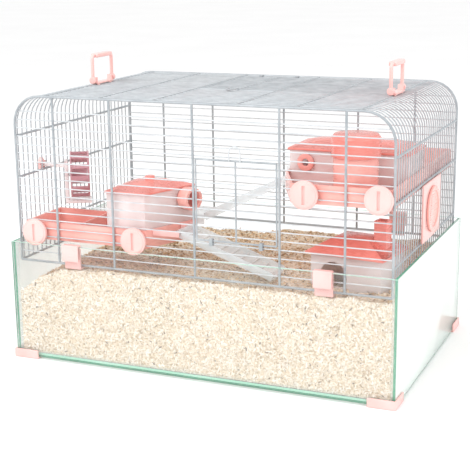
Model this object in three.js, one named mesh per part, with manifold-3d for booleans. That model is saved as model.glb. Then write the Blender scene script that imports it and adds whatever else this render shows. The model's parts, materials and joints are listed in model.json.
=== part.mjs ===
// Hamster cage: a glass tank with a lift-off wire top, shelves, houses, a wheel and ramps.
// Millimetres. +X runs along the tank to the right, +Y to the back, +Z up.
// The origin is the middle of the footprint, on the surface that the feet stand on.
import * as THREE from "three";
import { mergeVertices } from "three/addons/utils/BufferGeometryUtils.js";
import Module from "manifold-3d";

// ---- Fits ----
const rest = 0.3; // between two pieces that touch
const turning = 0.3; // round a pin that turns

// ---- Glass tank ----
const tankLength = 580;
const tankDepth = 375;
const glassHeight = 174;
const glassThickness = 4;
const baseThickness = 5;
const seamWidth = 3;
const footSole = 2.7;
const footWall = 3;
const footArm = 40;
const footHeight = 13;
const beddingLevel = 142;

// ---- Wire top ----
const wireInset = glassThickness + 7; // wire face in from the outside of the front glass
const endInset = 7.5; // end wires in from the outside of the end glass
const roofAboveRim = 214;
const baseBelowRim = 29;
const cornerRadius = 43;
const thickWire = 3.5;
const thinWire = 2;
const wirePitch = 12.1;
const wireStep = 3; // one wire in three is modelled
const firstRowDrop = 23.4; // first front row below the roof

// ---- Doors ----
const doorLeft = 0;
const doorWidth = 125;
const doorTopRow = 4;
const doorBottomRow = 14;
const doorWire = 2.6;
const doorGap = 2.2;
const hatchHalfWidth = 62;
const hatchFrontRow = -2;
const hatchBackRow = Math.floor((tankDepth / 2 - 30) / wirePitch);

// ---- Shelves ----
const trayWall = 3;
const trayHeight = 26;
const leftTrayLevel = 181;
const leftTrayLength = 232;
const leftTrayDepth = 94;
const rightTrayLevel = 264;
const rightTrayLength = 176;
const rightTrayDepth = tankDepth - 45;
const trayFrontGap = 1;
const trayEndGap = 7;
const leftCutLength = 36;
const rightCutLength = 37;
const rightCutDepth = 80;
const bowlWidth = 80;

// ---- Turn knobs ----
const knobRadius = 19.5;
const knobThickness = 6;
const knobShaft = 3.5;
const knobSlotWidth = 4;
const knobSlotLength = 25;
const knobLift = 12; // knob above its shelf's underside, before it moves into the nearest gap
const knobFromLeftEnd = 18.25;
const knobFromLeftCut = 16.5;
const knobFromRightCut = 20.96;
const knobFromRightEnd = 17.12;

// ---- Houses ----
const houseWall = 2;
const leftHouseHeight = 72;
const leftHouseLength = 94;
const leftRoofRise = 14;
const rightHouseHeight = 51;
const rightHouseDepth = 80;
const rightHouseSetBack = 88;
const rightRoofRise = 13;
const roofPlate = 3;
const eave = 3;
const leftPortRadius = 12;
const leftPortReach = 22;
const rightPortRadius = 9;
const portRim = 4.5;

// ---- Wheel ----
const wheelRadius = 35;
const wheelWidth = 28;
const wheelTurn = Math.PI / 6;
const rungCount = 12;
const axleRadius = 3;
const hubRadius = 7;
const wheelFromLeft = 62; // wheel centre in from the left end of the tank
const wheelFromFront = 99.5;
const wheelAxleLift = 82; // axle above the tray's underside
const stubLift = 97;
const stubRadius = 3.5;

// ---- Pot ----
const potRadius = 30;
const potHeight = 73;
const potWall = 2.5;
const lidHeight = 30;
const lidDrop = 18;
const potFromRight = 76;
const potFromFront = 62.5;

// ---- Carry handles ----
const handleSpan = 64;
const handleHeight = 46;
const gripHeight = 13;
const gripWidth = 12;
const handlePivotLift = 6;

// ---- Ramps ----
const rampWidth = 46;
const rampThickness = 4;
const rampEdge = 7;
const rampRodRadius = 2.5;
const rampReach = 150;
const rampPitch = 0.345; // slope, in radians
const bridgeWidth = 44;
const bridgeRise = 9; // top of the slope above the right shelf's underside

// ---- Hide ----
const hideLength = 104;
const hideDepth = 74;
const hideBottom = 131;
const hideWallTop = 186;
const hideRise = 22;
const hideTurn = -0.14;
const hideFromRight = 81;
const hideFromFront = 90;

// ---- End port ----
const plateWidth = 100;
const plateHeight = 82;
const plateThickness = 3;
const portRadius = 28.5;
const capFlange = 33;
const portBack = 10; // port centre behind the middle
const portLevel = 229;

// ---- Rim clips ----
const clipWidth = 26;
const clipFromMiddle = 190;
const clipThickness = 2.5;
const clipSkirt = 21;

// ---- Colours ----
const WIRE = 0xc6ccd1;
const GLASS = 0xdcefe6;
const PALE_PINK = 0xf6c4bd;
const SALMON = 0xf0a299;
const ROSE = 0xe5847b;
const BLUSH = 0xf5d5d2;
const CLEAR = 0xe9f1f2;
const SEAM = 0xe4e9e6;
const SHAVINGS = 0xdcc091;
const MAUVE = 0xc58d92;

// ---- Levels and faces that follow from the sizes above ----
const glassBottom = footSole + rest;
const rim = glassBottom + glassHeight;
const roofTop = rim + roofAboveRim;
const baseWire = rim - baseBelowRim;
const halfLength = tankLength / 2;
const halfDepth = tankDepth / 2;
const wireFront = -halfDepth + wireInset; // outer face of the front wires
const wireEnd = halfLength - endInset; // outer face of the end wires
const wireBack = -wireFront;
const frontInner = wireFront + thickWire;
const firstRow = roofTop - firstRowDrop;
const trayFront = frontInner + trayFrontGap;
const bars = [233, 146, 62];
const roofPanelReach = halfLength - 39; // the roof's flat node ends here, just past the bend's start
const posts = [-217, -126, 0, 125, 216];

// ---- Making solids ----
const wasm = await Module();
wasm.setup();

// A closed geometry as a solid that can be joined and cut.
function solid(geometry) {
  const flat = geometry.index ? geometry.toNonIndexed() : geometry;
  const bare = new THREE.BufferGeometry();
  bare.setAttribute("position", flat.getAttribute("position"));
  const merged = mergeVertices(bare, 1e-4);
  return new wasm.Manifold(new wasm.Mesh({
    numProp: 3,
    vertProperties: merged.attributes.position.array,
    triVerts: new Uint32Array(merged.index.array),
  }));
}

// Several solids as one.
function joined(solids) {
  return solids.reduce((whole, piece) => whole.add(piece));
}

// One solid less the others.
function cut(body, tools) {
  return tools.reduce((left, tool) => left.subtract(tool), body);
}

// A box between two corners.
function box(x0, x1, y0, y1, z0, z1) {
  const geometry = new THREE.BoxGeometry(x1 - x0, y1 - y0, z1 - z0);
  return solid(geometry.translate((x0 + x1) / 2, (y0 + y1) / 2, (z0 + z1) / 2));
}

// A round bar between two points.
function rod(from, to, radius, sides) {
  const a = new THREE.Vector3(...from);
  const b = new THREE.Vector3(...to);
  const along = b.clone().sub(a);
  const geometry = new THREE.CylinderGeometry(radius, radius, along.length(), sides);
  const turn = new THREE.Quaternion();
  turn.setFromUnitVectors(new THREE.Vector3(0, 1, 0), along.clone().normalize());
  geometry.applyQuaternion(turn);
  return solid(geometry.translate(...a.add(b).multiplyScalar(0.5).toArray()));
}

// A shape drawn in x and z, from the face y0 back to y1.
function upright(shape, y0, y1, curveSegments = 5) {
  const depth = y1 - y0;
  const geometry = new THREE.ExtrudeGeometry(shape, { depth, bevelEnabled: false, curveSegments });
  return solid(geometry.rotateX(Math.PI / 2).translate(0, y1, 0));
}

// A shape drawn in y and z, from the face x0 across to x1.
function sideways(shape, x0, x1, curveSegments = 5) {
  const depth = x1 - x0;
  const geometry = new THREE.ExtrudeGeometry(shape, { depth, bevelEnabled: false, curveSegments });
  return solid(geometry.rotateX(Math.PI / 2).rotateZ(Math.PI / 2).translate(x0, 0, 0));
}

// A shape drawn in plan, from the level z0 up to z1.
function flat(shape, z0, z1) {
  const geometry = new THREE.ExtrudeGeometry(shape, { depth: z1 - z0, bevelEnabled: false });
  return solid(geometry.translate(0, 0, z0));
}

// A plan shape that draws in towards its middle as it rises.
function hip(shape, z0, z1, drawIn) {
  const geometry = new THREE.ExtrudeGeometry(shape, { depth: z1 - z0, bevelEnabled: false });
  geometry.computeBoundingBox();
  const middle = geometry.boundingBox.getCenter(new THREE.Vector3());
  const at = geometry.getAttribute("position");
  for (let i = 0; i < at.count; i += 1) {
    if (at.getZ(i) > middle.z) {
      at.setX(i, middle.x + (at.getX(i) - middle.x) * drawIn);
      at.setY(i, middle.y + (at.getY(i) - middle.y) * drawIn);
    }
  }
  return solid(geometry.translate(0, 0, z0));
}

// A closed outline from plan corners.
function outline(corners) {
  return new THREE.Shape(corners.map(([x, y]) => new THREE.Vector2(x, y)));
}

// The corners moved in by a margin, each along the bisector of its two sides.
function inset(corners, margin) {
  return corners.map((here, i) => {
    const before = corners[(i + corners.length - 1) % corners.length];
    const after = corners[(i + 1) % corners.length];
    const a = new THREE.Vector2(here[0] - before[0], here[1] - before[1]).normalize();
    const b = new THREE.Vector2(after[0] - here[0], after[1] - here[1]).normalize();
    const reach = margin / (1 + a.dot(b));
    return [here[0] - (a.y + b.y) * reach, here[1] + (a.x + b.x) * reach];
  });
}

// ---- The group and its nodes ----
const cage = new THREE.Group();
cage.name = "hamster_cage";

function add(name, body, color, opacity = 1) {
  const mesh = body.getMesh();
  const geometry = new THREE.BufferGeometry();
  const at = new Float32Array(mesh.vertProperties);
  geometry.setAttribute("position", new THREE.BufferAttribute(at, 3));
  geometry.setIndex(new THREE.BufferAttribute(new Uint32Array(mesh.triVerts), 1));
  const flatGeometry = geometry.toNonIndexed();
  flatGeometry.computeVertexNormals();
  const material = new THREE.MeshStandardMaterial({
    color,
    roughness: 0.5,
    transparent: opacity < 1,
    opacity,
  });
  const node = new THREE.Mesh(flatGeometry, material);
  node.name = name;
  cage.add(node);
  return node;
}

// ---- Glass tank ----
function makeTank() {
  const innerX = halfLength - glassThickness;
  const innerY = halfDepth - glassThickness;
  const sideY = innerY - rest;
  const floorTop = glassBottom + baseThickness;
  add("glass_front", box(-halfLength, halfLength, -halfDepth, -innerY, glassBottom, rim), GLASS, 0.3);
  add("glass_back", box(-halfLength, halfLength, innerY, halfDepth, glassBottom, rim), GLASS, 0.3);
  add("glass_left", box(-halfLength, -innerX, -sideY, sideY, glassBottom, rim), GLASS, 0.3);
  add("glass_right", box(innerX, halfLength, -sideY, sideY, glassBottom, rim), GLASS, 0.3);
  const baseX = innerX - rest;
  add("glass_base", box(-baseX, baseX, -sideY, sideY, glassBottom, floorTop), GLASS, 0.3);
  makeSeam(innerX - rest, sideY - rest, floorTop + rest);
}

// The clear sealant bead round the floor and up the four inner corners.
function makeSeam(x, y, z) {
  const ring = cut(box(-x, x, -y, y, z, z + seamWidth), [
    box(-x + seamWidth, x - seamWidth, -y + seamWidth, y - seamWidth, z - 1, z + seamWidth + 1),
  ]);
  const pieces = [ring];
  for (const side of [-1, 1]) {
    for (const end of [-1, 1]) {
      const xs = [end * x, end * (x - seamWidth)].sort((a, b) => a - b);
      const ys = [side * y, side * (y - seamWidth)].sort((a, b) => a - b);
      pieces.push(box(xs[0], xs[1], ys[0], ys[1], z, rim - 6));
    }
  }
  add("silicone_seam", joined(pieces), SEAM, 0.6);
}

// A plastic shoe under each corner of the tank.
function makeFeet() {
  const outX = halfLength + footWall;
  const outY = halfDepth + footWall + rest;
  for (const [row, side] of [["front", -1], ["back", 1]]) {
    for (const [column, end] of [["left", -1], ["right", 1]]) {
      const xs = [end * outX, end * (outX - footArm)].sort((a, b) => a - b);
      const ys = [side * outY, side * (outY - footArm)].sort((a, b) => a - b);
      const block = box(xs[0], xs[1], ys[0], ys[1], 0, footHeight);
      const inX = halfLength + rest;
      const inY = halfDepth + rest;
      const seat = box(-inX, inX, -inY, inY, footSole, footHeight + 1);
      add(`corner_foot_${row}_${column}`, cut(block, [seat]), PALE_PINK);
    }
  }
}

// Height of the wood shavings at a place in the tank.
function beddingTop(x, y) {
  const fromLeft = THREE.MathUtils.clamp((x + 0.975 * halfLength) / 87, 0, 1);
  const leftDip = 42 * Math.pow(1 - fromLeft, 1.7);
  const backDip = 16 * THREE.MathUtils.clamp((y - 20) / 160, 0, 1) * (x < 0 ? 1 : 0.4);
  const heap = 3.5 * Math.exp(-((x - 20) ** 2) / 9000 - ((y + 20) ** 2) / 9000);
  const lumps = 0.6 * Math.sin(x / 17) * Math.cos(y / 13);
  return beddingLevel - leftDip - backDip + heap + lumps;
}

function makeBedding() {
  const x = halfLength - glassThickness - 2 * rest - seamWidth - 0.4;
  const y = halfDepth - glassThickness - 3 * rest - seamWidth - 0.4;
  const bottom = glassBottom + baseThickness + rest;
  const geometry = new THREE.BoxGeometry(2 * x, 2 * y, 1, 18, 12, 1);
  const at = geometry.getAttribute("position");
  for (let i = 0; i < at.count; i += 1) {
    at.setZ(i, at.getZ(i) > 0 ? beddingTop(at.getX(i), at.getY(i)) : bottom);
  }
  const pocket = new THREE.BoxGeometry(hideLength + 2, hideDepth + 2, 80);
  pocket.rotateZ(hideTurn).translate(hideX, hideY, hideBottom - rest + 40);
  add("wood_shavings", cut(solid(geometry), [solid(pocket)]), SHAVINGS);
}

// ---- Wire top ----
// The inverted U of one wire, as a band of the wire's own thickness.
function archShape(halfWidth, top, bottom, thickness) {
  const r = cornerRadius;
  const shape = new THREE.Shape();
  shape.moveTo(-halfWidth, bottom);
  shape.lineTo(-halfWidth + thickness, bottom);
  shape.lineTo(-halfWidth + thickness, top - r);
  shape.absarc(-halfWidth + r, top - r, r - thickness, Math.PI, Math.PI / 2, true);
  shape.lineTo(halfWidth - r, top - thickness);
  shape.absarc(halfWidth - r, top - r, r - thickness, Math.PI / 2, 0, true);
  shape.lineTo(halfWidth - thickness, bottom);
  shape.lineTo(halfWidth, bottom);
  shape.lineTo(halfWidth, top - r);
  shape.absarc(halfWidth - r, top - r, r, 0, Math.PI / 2, false);
  shape.lineTo(-halfWidth + r, top);
  shape.absarc(-halfWidth + r, top - r, r, Math.PI / 2, Math.PI, false);
  shape.lineTo(-halfWidth, bottom);
  return shape;
}

// One upright face of the wire top: its outline, posts, rows and base wire.
function wireFace(y0, y1) {
  const base = baseWire - thickWire / 2;
  const pieces = [upright(archShape(wireEnd, roofTop, base, thickWire), y0, y1)];
  pieces.push(box(-wireEnd, wireEnd, y0, y1, base, base + thickWire));
  for (const x of posts) {
    pieces.push(box(x - thickWire / 2, x + thickWire / 2, y0, y1, base, roofTop - 1));
  }
  const middle = (y0 + y1) / 2;
  for (let row = 1; firstRow - row * wirePitch > baseWire + wirePitch; row += wireStep) {
    const z = firstRow - row * wirePitch;
    const reach = rowReach(z);
    const half = thinWire / 2;
    pieces.push(box(-reach, reach, middle - half, middle + half, z - half, z + half));
  }
  return joined(pieces);
}

// Half the length of a row at a height: shorter beside the round roof corners.
function rowReach(z) {
  const rise = z - (roofTop - cornerRadius);
  const lost = rise > 0 ? cornerRadius - Math.sqrt(cornerRadius ** 2 - rise ** 2) : 0;
  return wireEnd - lost - thickWire / 2;
}

function rowLevel(row) {
  return firstRow - row * wirePitch;
}

// The middle of the gap between two rows that is nearest to a height.
function gapLevel(z) {
  return rowLevel(Math.round((firstRow - z) / wirePitch - 0.5) + 0.5);
}

function makeFrontMesh() {
  const top = rowLevel(doorTopRow);
  const bottom = rowLevel(doorBottomRow);
  const half = thinWire / 2;
  const left = doorLeft + thickWire / 2;
  const right = doorLeft + doorWidth - thickWire / 2;
  const hole = box(left, right, wireFront - 1, frontInner + 1, bottom + half, top - half);
  const middle = (wireFront + frontInner) / 2;
  const depths = [middle - half, middle + half];
  const sill = box(doorLeft, doorLeft + doorWidth, ...depths, bottom - half, bottom + half);
  add("front_mesh", joined([cut(wireFace(wireFront, frontInner), [hole]), sill]), WIRE);
}

function makeBackMesh() {
  add("back_mesh", wireFace(wireBack - thickWire, wireBack), WIRE);
}

// The end bars next below and next above the port's plate.
const belowPort = rowLevel(Math.ceil((firstRow - portLevel + plateHeight / 2) / wirePitch));
const abovePort = rowLevel(Math.floor((firstRow - portLevel - plateHeight / 2) / wirePitch));

// The wires over the roof and down both ends, with the bars that cross them.
function makeRoofAndEnds() {
  const y = -frontInner - rest;
  const half = thickWire / 2;
  const base = baseWire - half;
  const pieces = [];
  const rows = Math.floor(y / (wirePitch * wireStep));
  for (let row = -rows; row <= rows; row += 1) {
    const at = row * wirePitch * wireStep;
    const arch = archShape(wireEnd - 0.7, roofTop - 0.7, base, thinWire);
    pieces.push(upright(arch, at - thinWire / 2, at + thinWire / 2, 4));
  }
  for (const end of [-1, 1]) {
    for (const x of bars) {
      pieces.push(box(end * x - half, end * x + half, -y, y, roofTop - thickWire, roofTop));
    }
    const xs = [end * wireEnd, end * (wireEnd - thickWire)].sort((a, b) => a - b);
    for (const z of [baseWire, belowPort, abovePort, rowLevel(3)]) {
      pieces.push(box(xs[0], xs[1], -y, y, z - half, z + half));
    }
  }
  const front = hatchFrontRow * wirePitch;
  const back = hatchBackRow * wirePitch;
  const inX = hatchHalfWidth - half;
  const hatch = box(-inX, inX, front + 1, back - 1, roofTop - 20, roofTop + 1);
  const portHalf = capFlange + 8;
  const clear = [portBack - portHalf, portBack + portHalf, belowPort + half, abovePort - half];
  const port = box(wireEnd - 10, wireEnd + 1, ...clear);
  const jambs = [front, back].map((at) =>
    box(-hatchHalfWidth, hatchHalfWidth, at - 1, at + 1, roofTop - 2.7, roofTop - 0.7));
  splitTop(joined([cut(joined(pieces), [hatch, port]), ...jambs]));
}

// The bent top as five nodes: a flat roof, two round shoulders and two flat ends.
function splitTop(whole) {
  const across = roofPanelReach - rest / 2;
  const out = wireEnd + 1;
  const under = rowLevel(3) - thickWire / 2 - rest;
  const part = (x0, x1, z0, z1) => whole.intersect(box(x0, x1, -halfDepth, halfDepth, z0, z1));
  add("roof_mesh", part(-across, across, under, roofTop + 1), WIRE);
  for (const [side, end] of [["left", -1], ["right", 1]]) {
    const shoulder = [end * (across + rest), end * out].sort((a, b) => a - b);
    const wall = [end * (wireEnd - 10), end * out].sort((a, b) => a - b);
    add(`${side}_shoulder_mesh`, part(...shoulder, under + rest, roofTop + 1), WIRE);
    add(`${side}_end_mesh`, part(...wall, 0, under), WIRE);
  }
}

// ---- Doors ----
function makeFrontDoor() {
  const half = doorWire / 2;
  const left = doorLeft + thickWire / 2 + doorGap;
  const right = doorLeft + doorWidth - thickWire / 2 - doorGap;
  const bottom = rowLevel(doorBottomRow) + thinWire / 2 + doorGap;
  const top = rowLevel(doorTopRow) - thinWire / 2 - doorGap;
  const y = (wireFront + frontInner) / 2;
  const pieces = [rod([left, y, bottom + half], [right, y, bottom + half], half, 8)];
  pieces.push(box(left, right, y - half, y + half, top - doorWire, top));
  for (const x of [left, (left + right) / 2, right]) {
    pieces.push(box(x - half, x + half, y - half, y + half, bottom + half, top));
  }
  for (const row of [7, 10, 13]) {
    const z = rowLevel(row);
    pieces.push(box(left, right, y - 1, y + 1, z - 1, z + 1));
  }
  add("front_door", joined(pieces), WIRE);
  makeDoorClips(left, right, y, bottom + half);
}

// Straps that hold the door's bottom wire to the sill wire.
function makeDoorClips(left, right, y, hingeLevel) {
  const sill = rowLevel(doorBottomRow);
  const places = [left + 22, right - 22];
  places.forEach((x, i) => {
    const strap = box(x - 2.5, x + 2.5, y - 3, y + 3, sill - 2.6, hingeLevel + 3);
    const slot = box(x - 4, x + 4, y - 1.8, y + 1.8, sill - 1.4, hingeLevel + 1.8);
    add(`front_door_hinge_${i + 1}`, cut(strap, [slot]), WIRE);
  });
}

// A bent wire catch drawn in its own plane: two legs joined by a round end.
function hookShape(width, length, wire) {
  const w = width / 2;
  const shape = new THREE.Shape();
  shape.moveTo(-w, 0);
  shape.lineTo(-w + wire, 0);
  shape.lineTo(-w + wire, length - w);
  shape.absarc(0, length - w, w - wire, Math.PI, 0, true);
  shape.lineTo(w - wire, 0);
  shape.lineTo(w, 0);
  shape.lineTo(w, length - w);
  shape.absarc(0, length - w, w, 0, Math.PI, false);
  shape.lineTo(-w, 0);
  return shape;
}

function makeFrontLatch() {
  const bottom = rowLevel(doorTopRow) - thinWire / 2 - doorGap - doorWire / 2;
  const y1 = (wireFront + frontInner) / 2 - doorWire / 2 - 2 * rest;
  const shape = hookShape(18, 21, thinWire);
  const options = { depth: thinWire, bevelEnabled: false, curveSegments: 8 };
  const geometry = new THREE.ExtrudeGeometry(shape, options);
  geometry.rotateX(Math.PI / 2).translate(doorLeft + doorWidth / 2, y1, bottom);
  add("front_door_latch", solid(geometry), WIRE);
}

function makeRoofDoor() {
  const half = doorWire / 2;
  const x = hatchHalfWidth - thickWire / 2 - doorGap;
  const front = hatchFrontRow * wirePitch + 1 + doorGap;
  const back = hatchBackRow * wirePitch - 1 - doorGap;
  const z = roofTop - thickWire / 2;
  const pieces = [rod([-x, back - half, z], [x, back - half, z], half, 8)];
  pieces.push(box(-x, x, front, front + doorWire, z - half, z + half));
  for (const at of [-x, 0, x]) {
    pieces.push(box(at - half, at + half, front, back - half, z - half, z + half));
  }
  for (let row = 1; row * wirePitch < back - 10; row += wireStep) {
    const y = row * wirePitch;
    pieces.push(box(-x, x, y - 1, y + 1, z - 1, z + 1));
  }
  add("roof_door", joined(pieces), WIRE);
  [-30, 30].forEach((at, i) => {
    const strap = box(at - 2.5, at + 2.5, back - half - 3, back + 5.5, z - 3, z + 3);
    const slot = box(at - 4, at + 4, back - half - 1.8, back + 4.3, z - 1.8, z + 1.8);
    add(`roof_door_hinge_${i + 1}`, cut(strap, [slot]), WIRE);
  });
  const hook = hookShape(15, 21, thinWire);
  const options = { depth: thinWire, bevelEnabled: false, curveSegments: 8 };
  const geometry = new THREE.ExtrudeGeometry(hook, options);
  geometry.rotateZ(Math.PI).translate(-4, front + doorWire / 2, roofTop + rest);
  add("roof_door_latch", solid(geometry), WIRE);
}

// ---- Clips that hook over the glass rim and under the base wire ----
function makeRimClips() {
  const t = clipThickness;
  const out = halfDepth + rest;
  const inner = halfDepth - glassThickness - rest;
  const hookZ = baseWire - thickWire / 2 - rest - t;
  for (const [row, side] of [["front", -1], ["back", 1]]) {
    for (const [column, end] of [["left", -1], ["right", 1]]) {
      const shape = outline([
        [out + t, rim - clipSkirt], [out + t, rim + rest + t], [inner - t, rim + rest + t],
        [inner - t, hookZ + t], [-wireFront - thickWire - rest, hookZ + t],
        [-wireFront - thickWire - rest, hookZ], [inner, hookZ], [inner, rim + rest],
        [out, rim + rest], [out, rim - clipSkirt],
      ].map(([y, z]) => [side * y, z]));
      const x = end * clipFromMiddle;
      const clip = sideways(shape, x - clipWidth / 2, x + clipWidth / 2);
      add(`rim_clip_${row}_${column}`, clip, PALE_PINK);
    }
  }
}

// ---- Carry handles ----
function makeHandles() {
  for (const [name, end] of [["left", -1], ["right", 1]]) {
    const x = end * bars[0];
    const pivot = roofTop + handlePivotLift;
    makeHandleBracket(name, x, pivot);
    makeHandle(name, x, pivot);
  }
}

// Saddle that snaps on a roof bar and carries the two pins.
function makeHandleBracket(name, x, pivot) {
  const inner = handleSpan / 2 - 8;
  const saddle = roofTop + rest;
  const pieces = [box(x - 6, x + 6, -inner, inner, saddle, saddle + 2.4)];
  for (const side of [-1, 1]) {
    const ears = [side * inner, side * (inner - 3)].sort((a, b) => a - b);
    pieces.push(box(x - 4, x + 4, ears[0], ears[1], saddle, pivot + 4));
    pieces.push(rod([x, side * (inner - 2), pivot], [x, side * (inner + 7.5), pivot], 2.5, 12));
    const snaps = [side * 14.5, side * 21.5].sort((a, b) => a - b);
    for (const lip of [-1, 1]) {
      const face = x + lip * (thickWire / 2 + rest);
      const xs = [face, face + lip * 2].sort((a, b) => a - b);
      pieces.push(box(xs[0], xs[1], snaps[0], snaps[1], saddle - 6, saddle + 1));
    }
  }
  add(`handle_bracket_${name}`, joined(pieces), PALE_PINK);
}

function makeHandle(name, x, pivot) {
  const half = handleSpan / 2;
  const top = roofTop + handleHeight;
  const r = 10;
  const outer = new THREE.Shape();
  outer.moveTo(-half, pivot);
  outer.absarc(-half + r, top - r, r, Math.PI, Math.PI / 2, true);
  outer.absarc(half - r, top - r, r, Math.PI / 2, 0, true);
  outer.lineTo(half, pivot);
  outer.lineTo(half - 7.4, pivot);
  outer.lineTo(half - 7.4, top - gripHeight);
  outer.lineTo(-half + 7.4, top - gripHeight);
  outer.lineTo(-half + 7.4, pivot);
  outer.lineTo(-half, pivot);
  const frame = sideways(outer, x - 3, x + 3, 4);
  const grip = box(x - gripWidth / 2, x + gripWidth / 2, -half + 8, half - 8, top - gripHeight, top - 1);
  const pieces = [frame, grip];
  const bores = [];
  for (const side of [-1, 1]) {
    const near = side * (half - 7.4);
    pieces.push(rod([x, near, pivot], [x, side * half, pivot], 5.4, 16));
    bores.push(rod([x, near - side, pivot], [x, side * (half + 1), pivot], 2.5 + turning, 12));
  }
  add(`carry_handle_${name}`, cut(joined(pieces), bores), PALE_PINK);
}

// ---- Shelves ----
const leftTrayCorners = [
  [-wireEnd + thickWire + trayEndGap, trayFront],
  [-wireEnd + thickWire + trayEndGap + leftTrayLength - leftCutLength, trayFront],
  [-wireEnd + thickWire + trayEndGap + leftTrayLength, trayFront + leftTrayDepth],
  [-wireEnd + thickWire + trayEndGap, trayFront + leftTrayDepth],
];
const rightTrayEnd = wireEnd - thickWire - rest;
const rightTrayCorners = [
  [rightTrayEnd - rightTrayLength + rightCutLength, trayFront],
  [rightTrayEnd, trayFront],
  [rightTrayEnd, trayFront + rightTrayDepth],
  [rightTrayEnd - rightTrayLength, trayFront + rightTrayDepth],
  [rightTrayEnd - rightTrayLength, trayFront + rightCutDepth],
];
const knobLevelLow = gapLevel(leftTrayLevel + knobLift);
const knobLevelHigh = gapLevel(rightTrayLevel + knobLift);
// Each knob's name, place along the front, level, and how far its shaft goes into the shelf.
const knobs = [
  ["knob_left_1", leftTrayCorners[0][0] + knobFromLeftEnd, knobLevelLow, 10],
  ["knob_left_2", leftTrayCorners[1][0] - knobFromLeftCut, knobLevelLow, 2.2],
  ["knob_right_1", rightTrayCorners[0][0] + knobFromRightCut, knobLevelHigh, 10],
  ["knob_right_2", rightTrayEnd - knobFromRightEnd, knobLevelHigh, 10],
];

// A shelf with a rim, and a bored boss behind its front wall for each knob.
function tray(corners, level, ownKnobs) {
  const top = level + trayHeight;
  const shell = cut(flat(outline(corners), level, top), [
    flat(outline(inset(corners, trayWall)), level + trayWall, top + 1),
  ]);
  const bosses = ownKnobs.filter(([, , , reach]) => reach > trayWall).map(([, x, z, reach]) =>
    rod([x, trayFront + 1, z], [x, trayFront + reach + 4, z], 7, 12));
  const bores = ownKnobs.map(([, x, z, reach]) =>
    rod([x, trayFront - 1, z], [x, trayFront + reach + 1.2, z], knobShaft + turning, 12));
  return cut(joined([shell, ...bosses]), bores);
}

function makeTrays() {
  const [cornerX, cornerY] = leftTrayCorners[0];
  const bowlTop = leftTrayLevel + trayHeight - 2;
  const bowlRight = cornerX + trayWall + bowlWidth;
  const bowlBack = cornerY + leftTrayDepth - 1;
  const bowl = box(bowlRight, bowlRight + 2, cornerY + 1, bowlBack, leftTrayLevel + 1, bowlTop);
  const left = tray(leftTrayCorners, leftTrayLevel, knobs.slice(0, 2));
  add("left_tray", left.add(bowl), SALMON);
  add("right_tray", tray(rightTrayCorners, rightTrayLevel, knobs.slice(2)), SALMON);
}

function makeKnobs() {
  const back = wireFront - rest;
  const front = back - knobThickness;
  for (const [name, x, z, into] of knobs) {
    const disc = rod([x, front + 1.2, z], [x, back, z], knobRadius, 32);
    const face = rod([x, front, z], [x, front + 1.3, z], knobRadius - 2.5, 32);
    const shaft = rod([x, back - 1, z], [x, trayFront + into, z], knobShaft, 12);
    const half = knobSlotWidth / 2;
    const reach = knobSlotLength / 2;
    const slot = box(x - half, x + half, front - 1, front + 2.6, z - reach, z + reach);
    add(name, cut(joined([disc, face, shaft]), [slot]), PALE_PINK);
  }
}

// A round plug on the cut corner of the left shelf.
function makeTrayPlug() {
  const [from, to] = [leftTrayCorners[1], leftTrayCorners[2]];
  const out = new THREE.Vector2(to[1] - from[1], from[0] - to[0]).normalize();
  const share = 0.84;
  const x = from[0] + (to[0] - from[0]) * share;
  const y = from[1] + (to[1] - from[1]) * share;
  const z = leftTrayLevel + trayHeight / 2;
  const near = [x + out.x * rest, y + out.y * rest, z];
  const far = [x + out.x * 5, y + out.y * 5, z];
  add("tray_plug", rod(near, far, 11.5, 24), PALE_PINK);
}

// ---- Houses ----
const leftHouseCorners = (() => {
  const plan = inset(leftTrayCorners, trayWall + rest);
  const left = plan[2][0] - leftHouseLength;
  return [[left, plan[0][1]], plan[1], plan[2], [left, plan[2][1]]];
})();

function makeLeftHouse() {
  const floor = leftTrayLevel + trayWall + rest;
  const top = floor + leftHouseHeight;
  const corners = leftHouseCorners;
  const walls = cut(flat(outline(corners), floor, top), [
    flat(outline(inset(corners, houseWall)), floor - 1, top + 1),
  ]);
  const [from, to] = [corners[1], corners[2]];
  const out = new THREE.Vector2(to[1] - from[1], from[0] - to[0]).normalize();
  const share = 0.8;
  const x = from[0] + (to[0] - from[0]) * share;
  const y = from[1] + (to[1] - from[1]) * share;
  const z = top - leftPortRadius - 2.2;
  const through = (a, b, r, n) =>
    rod([x + out.x * a, y + out.y * a, z], [x + out.x * b, y + out.y * b, z], r, n);
  const doorway = box(corners[0][0] - 5, corners[0][0] + 5, -144, -104, floor - 1, floor + 48);
  add("left_house_walls", cut(walls, [through(-5, 5, leftPortRadius, 24), doorway]), BLUSH, 0.5);
  const neck = through(rest, leftPortReach, leftPortRadius + 1.8, 24);
  const flange = through(eave + 1, leftPortReach, leftPortRadius + portRim, 28);
  const bore = through(-1, leftPortReach + 2, leftPortRadius, 24);
  add("left_house_port", cut(joined([neck, flange]), [bore]), SALMON);
  makeLeftHouseRoof(corners, top);
}

function makeLeftHouseRoof(corners, wallTop) {
  const eaves = inset(corners, -eave + 0.6);
  const level = wallTop + rest;
  const plate = flat(outline(eaves), level, level + roofPlate);
  const slopes = hip(outline(eaves), level + roofPlate - 0.5, level + leftRoofRise, 0.35);
  const hollow = hip(outline(inset(corners, 3)), level - 1, level + leftRoofRise - 4, 0.4);
  const middleX = (eaves[0][0] + eaves[2][0]) / 2;
  const middleY = (eaves[0][1] + eaves[2][1]) / 2;
  const top = level + leftRoofRise;
  const knob = rod([middleX, middleY, top - 3], [middleX, middleY, top + 6], 7, 16);
  add("left_house_roof", cut(joined([plate, slopes, knob]), [hollow]), ROSE);
}

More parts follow.
